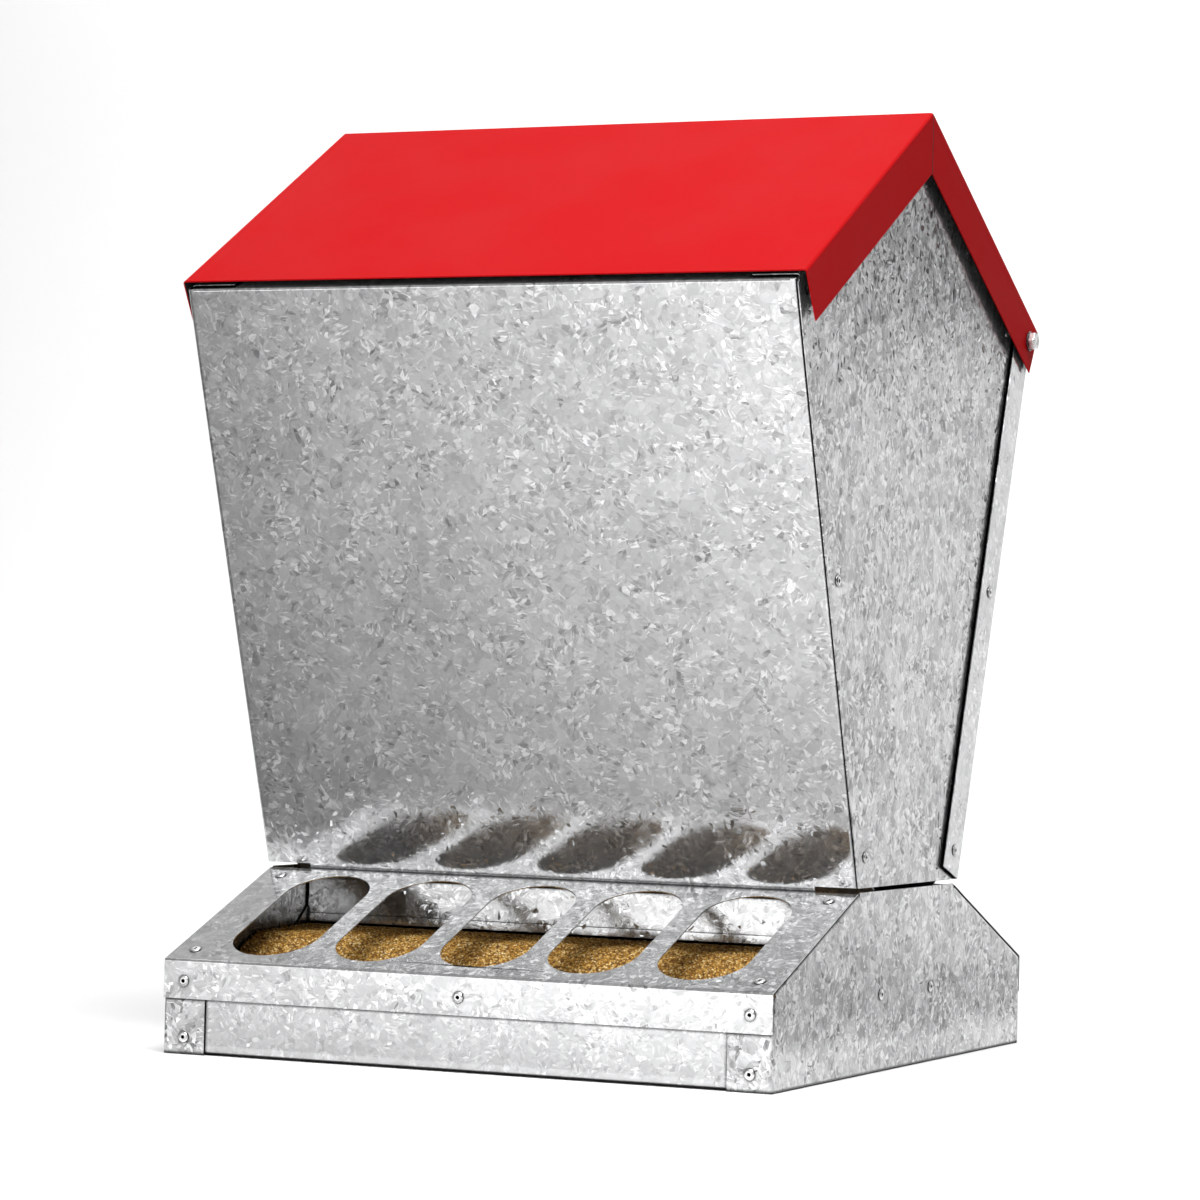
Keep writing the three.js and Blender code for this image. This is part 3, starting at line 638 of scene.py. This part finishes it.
for name, side in (("left", -1), ("right", 1)):
    for kind, build in (
        ("hinge_bolt_", hinge_bolt),
        ("hinge_nut_", hinge_nut),
        ("hinge_washer_", hinge_ring),
        ("hinge_spacer_", hinge_ring),
        ("inner_washer_", hinge_ring),
    ):
        node = kind + name
        lo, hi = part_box(node)
        low, high = (lo.x, hi.x) if side > 0 else (-hi.x, -lo.x)
        axis = Vector((side, 0, 0))
        bodies = [ring_body(rings, HINGE_AXIS, axis, closed) for rings, closed in build(low, high)]
        own(node, node + "_fine", mesh_from(node + "_fine", bodies, 32), ZINC)


# ---------------------------------------------------------------- grain


GRID = 0.95 * MM
KERNEL_RADIUS = (0.9 * MM, 1.5 * MM)
KERNEL_LIFT = (0.2 * MM, 1.0 * MM)
KERNEL_SPACING = 2.1 * MM
KERNELS_PER_PLACE = 1.6
KERNEL_SINK = 1.4 * MM  # how far the kernels' feet lie below the surface

BAFFLE_FOOT = 34.8 * MM  # where the bed starts, from the middle of the feeder
BED_TOP = 67.7 * MM
SHELF = 68 * MM  # how far the bed lies nearly level
SHELF_FALL = 2 * MM
BROW = 8 * MM  # rounding where it turns down
REPOSE = math.radians(32)
THROAT = 32.7 * MM  # half the width of the gap between the baffles
THROAT_DIP = 4 * MM


def kernels_on(grid_x, grid_y, xs, ys):
    """Heights of domed kernels strewn over a grid."""
    step, row_step = xs[1] - xs[0], ys[1] - ys[0]
    heights = np.zeros_like(grid_x)
    count = int(grid_x.size * step * step / KERNEL_SPACING**2 * KERNELS_PER_PLACE)
    centre_x = rng.uniform(xs[0], xs[-1], count)
    centre_y = rng.uniform(ys.min(), ys.max(), count)
    radius = rng.uniform(*KERNEL_RADIUS, count)
    lift = rng.uniform(*KERNEL_LIFT, count)
    for x, y, r, h in zip(centre_x, centre_y, radius, lift):
        row, column = (y - ys[0]) / row_step, (x - xs[0]) / step
        reach = r / step + 1
        rows = slice(max(0, int(row - reach)), int(row + reach) + 2)
        columns = slice(max(0, int(column - reach)), int(column + reach) + 2)
        d = ((grid_x[rows, columns] - x) ** 2 + (grid_y[rows, columns] - y) ** 2) / r**2
        dome = np.where(d < 1, h + np.sqrt(np.clip(1 - d, 0, 1)) * r * 0.8, 0)
        heights[rows, columns] = np.maximum(heights[rows, columns], dome)
    return heights


def lumpy(name, xs, ys, surface, ceiling, floor):
    """A heap of grain: kernels pressed into a surface of the given height, closed down to the
    floor."""
    grid_y, grid_x = np.meshgrid(ys, xs, indexing="ij")
    kernels = kernels_on(grid_x, grid_y, xs, ys)
    z = np.minimum(surface(np.abs(grid_y)) + kernels - KERNEL_SINK, ceiling)
    bm = bmesh.new()
    verts = [[bm.verts.new(p) for p in zip(*row)] for row in zip(grid_x, grid_y, z)]
    for near, far in zip(verts, verts[1:]):
        for i in range(len(near) - 1):
            bm.faces.new((near[i], near[i + 1], far[i + 1], far[i]))
    rim = verts[0] + [row[-1] for row in verts[1:]]
    rim += verts[-1][-2::-1] + [row[0] for row in verts[-2:0:-1]]
    low = [bm.verts.new((v.co.x, v.co.y, floor)) for v in rim]
    for i, vert in enumerate(rim):
        after = (i + 1) % len(rim)
        bm.faces.new((vert, rim[after], low[after], low[i]))
    bm.faces.new(low)
    bmesh.ops.recalc_face_normals(bm, faces=bm.faces)
    for face in bm.faces:
        face.smooth = True
    mesh = bpy.data.meshes.new(name)
    bm.to_mesh(mesh)
    bm.free()
    own("grain", name, mesh, GRAIN)


def grain_beds():
    """The bed that has run out under each baffle, and the grain standing between the baffles."""
    lo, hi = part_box("grain")
    xs = np.linspace(lo.x, hi.x, int((hi.x - lo.x) / GRID))
    edge = BED_TOP - SHELF_FALL
    turn = BAFFLE_FOOT + SHELF
    slope = math.tan(REPOSE)
    places = (BAFFLE_FOOT, turn - BROW, turn + BROW, hi.y)
    heights = (BED_TOP, edge, edge - BROW * slope, edge - (hi.y - turn) * slope)

    def bed(y):
        return np.interp(y, places, heights)

    def throat(y):
        return hi.z - THROAT_DIP * (1 - (y / THROAT) ** 2)

    ys = np.arange(THROAT, hi.y, GRID)
    lumpy("grain_bed_front", xs, -ys, bed, BED_TOP, lo.z)
    lumpy("grain_bed_rear", xs, ys, bed, BED_TOP, lo.z)
    ys = np.arange(-THROAT + 0.1 * MM, THROAT - 0.05 * MM, GRID)
    lumpy("grain_throat", xs, ys, throat, hi.z, lo.z)


grain_beds()


# ---------------------------------------------------------------- stage, light and camera


FLOOR_HALF_WIDTH, FLOOR_FRONT, FLOOR_BACK = 9.0, -9.0, 2.6
SWEEP_RADIUS, SWEEP_STEPS, SWEEP_TOP = 1.2, 24, 5.0


def sweep_floor():
    """A pale floor that curves up behind the object."""
    profile = [(FLOOR_FRONT, 0.0), (FLOOR_BACK, 0.0)]
    for i in range(1, SWEEP_STEPS + 1):
        angle = math.pi / 2 * i / SWEEP_STEPS
        rise = SWEEP_RADIUS - SWEEP_RADIUS * math.cos(angle)
        profile.append((FLOOR_BACK + SWEEP_RADIUS * math.sin(angle), rise))
    profile.append((FLOOR_BACK + SWEEP_RADIUS, SWEEP_TOP))
    bm = bmesh.new()
    ends = (-FLOOR_HALF_WIDTH, FLOOR_HALF_WIDTH)
    rows = [[bm.verts.new((x, y, z)) for x in ends] for y, z in profile]
    for a, b in zip(rows, rows[1:]):
        bm.faces.new((a[0], a[1], b[1], b[0]))
    for f in bm.faces:
        f.smooth = True
    mesh = bpy.data.meshes.new("floor")
    bm.to_mesh(mesh)
    bm.free()
    floor = bpy.data.objects.new("floor", mesh)
    scene.collection.objects.link(floor)
    mesh.materials.append(plain_stage("pale_floor", (0.9, 0.9, 0.9)))


def area_light(name, at, target, width, height, power):
    light = bpy.data.lights.new(name, "AREA")
    light.shape = "RECTANGLE"
    light.size, light.size_y = width, height
    light.energy = power
    lamp = bpy.data.objects.new(name, light)
    scene.collection.objects.link(lamp)
    lamp.location = at
    lamp.rotation_euler = (Vector(target) - Vector(at)).to_track_quat("-Z", "Y").to_euler()


def studio_world():
    """An even pale room, darker on the left and behind."""
    world = bpy.data.worlds.new("studio")
    world.use_nodes = True
    tree = world.node_tree
    background = tree.nodes["Background"]
    way = tree.nodes.new("ShaderNodeTexCoord")
    lean = tree.nodes.new("ShaderNodeVectorMath")
    lean.operation = "DOT_PRODUCT"
    lean.inputs[1].default_value = (0.5, -0.3, 0.35)
    tree.links.new(way.outputs["Generated"], lean.inputs[0])
    level = tree.nodes.new("ShaderNodeMapRange")
    level.inputs["From Min"].default_value = -0.6
    level.inputs["From Max"].default_value = 0.6
    level.inputs["To Min"].default_value = 0.16
    level.inputs["To Max"].default_value = 0.5
    tree.links.new(lean.outputs["Value"], level.inputs["Value"])
    tree.links.new(level.outputs["Result"], background.inputs["Strength"])
    background.inputs["Color"].default_value = (1, 1, 1, 1)
    scene.world = world


def unseen_card(name, corners, material):
    """A card that only reflections see, and that casts no shadow."""
    bm = bmesh.new()
    bm.faces.new([bm.verts.new(c) for c in corners])
    mesh = bpy.data.meshes.new(name)
    bm.to_mesh(mesh)
    bm.free()
    card = bpy.data.objects.new(name, mesh)
    scene.collection.objects.link(card)
    mesh.materials.append(material)
    card.visible_camera = False
    card.visible_shadow = False


def floor_card(name, left, right, near, far, material):
    """An unseen card that lies just above the floor."""
    corners = ((left, near), (right, near), (right, far), (left, far))
    unseen_card(name, [(x, y, 4 * MM) for x, y in corners], material)


def graduated(name, level, along_x, along_y, twist, least, most):
    """A glossy black panel that glows more towards one corner: painted light for a lit tabletop."""
    s = Shader(name)
    x, y, _ = s.node("SeparateXYZ", {0: s.place}).outputs
    glow = s.math("MULTIPLY_ADD", x, along_x, level)
    glow = s.math("MULTIPLY_ADD", y, along_y, glow)
    glow = s.math("MULTIPLY_ADD", s.math("MULTIPLY", x, y), twist, glow)
    glow = s.math("MINIMUM", s.math("MAXIMUM", glow, least), most)
    return s.finish(
        Base_Color=(0, 0, 0), Roughness=0.3, Emission_Color=(1, 1, 1, 1), Emission_Strength=glow
    )


sweep_floor()
studio_world()
area_light("key", (0.6, -0.9, 2.2), (0, -0.1, 0.2), 1.3, 1.3, 54)
area_light("front_low", (-1.5, -3.1, 0.3), (0, 0, 0.1), 1.8, 0.7, 9)
area_light("floor_wash", (0.2, -2.6, 1.6), (0.1, -1.2, 0), 1.2, 0.8, 16)
area_light("backdrop", (-0.5, 1.6, 3.2), (-0.3, 3.8, 1.2), 4.0, 1.0, 100)
# What the leaning front wall mirrors lies on the floor in front of it, and what the right side
# mirrors lies to its right.
# The floor cards glow: painted light for the lit tabletop that the walls mirror.
table_glow = graduated(
    "table_card", level=0.12, along_x=0.75, along_y=-1.92, twist=-1.6, least=0.08, most=1.6
)
floor_card("table_card", -1.7, 0.5, -2.4, -0.215, table_glow)
rear_glow = graduated(
    "rear_card", level=0.32, along_x=-0.05, along_y=0.0, twist=0.0, least=0.2, most=0.4
)
floor_card("rear_card", 0.26, 0.8, 0.0, 0.9, rear_glow)
black = plain_stage("black_card", (0.02, 0.02, 0.02))
unseen_card(
    "card_right", [(0.8, -0.7, 0.0), (0.8, 0.5, 0.0), (0.8, 0.5, 0.8), (0.8, -0.7, 0.8)], black
)
unseen_card(
    "card_high", [(0.3, 2.0, 0.6), (0.95, 2.0, 0.6), (0.95, 2.0, 1.4), (0.3, 2.0, 1.4)], black
)

scene.view_settings.view_transform = "Standard"
scene.view_settings.look = "None"
scene.view_settings.exposure = 0.0
scene.view_settings.gamma = 1.0

CAMERA_AT = (1.05848, -2.31688, 0.22682)
AZIMUTH, ELEVATION, ROLL = (math.radians(a) for a in (24.798, -0.942, 1.361))
camera_data = bpy.data.cameras.new("camera")
camera_data.sensor_width = 36.0
camera_data.lens = 126.99
camera_data.clip_start, camera_data.clip_end = 0.01, 100
camera = bpy.data.objects.new("camera", camera_data)
scene.collection.objects.link(camera)
back = Vector(
    (
        math.sin(AZIMUTH) * math.cos(ELEVATION),
        -math.cos(AZIMUTH) * math.cos(ELEVATION),
        math.sin(ELEVATION),
    )
)
right = Vector((math.cos(AZIMUTH), math.sin(AZIMUTH), 0))
up = right.cross(-back)
rolled_right = math.cos(ROLL) * right + math.sin(ROLL) * up
rolled_up = -math.sin(ROLL) * right + math.cos(ROLL) * up
facing = Matrix((rolled_right, rolled_up, back)).transposed()
camera.matrix_world = Matrix.Translation(CAMERA_AT) @ facing.to_4x4()
scene.camera = camera
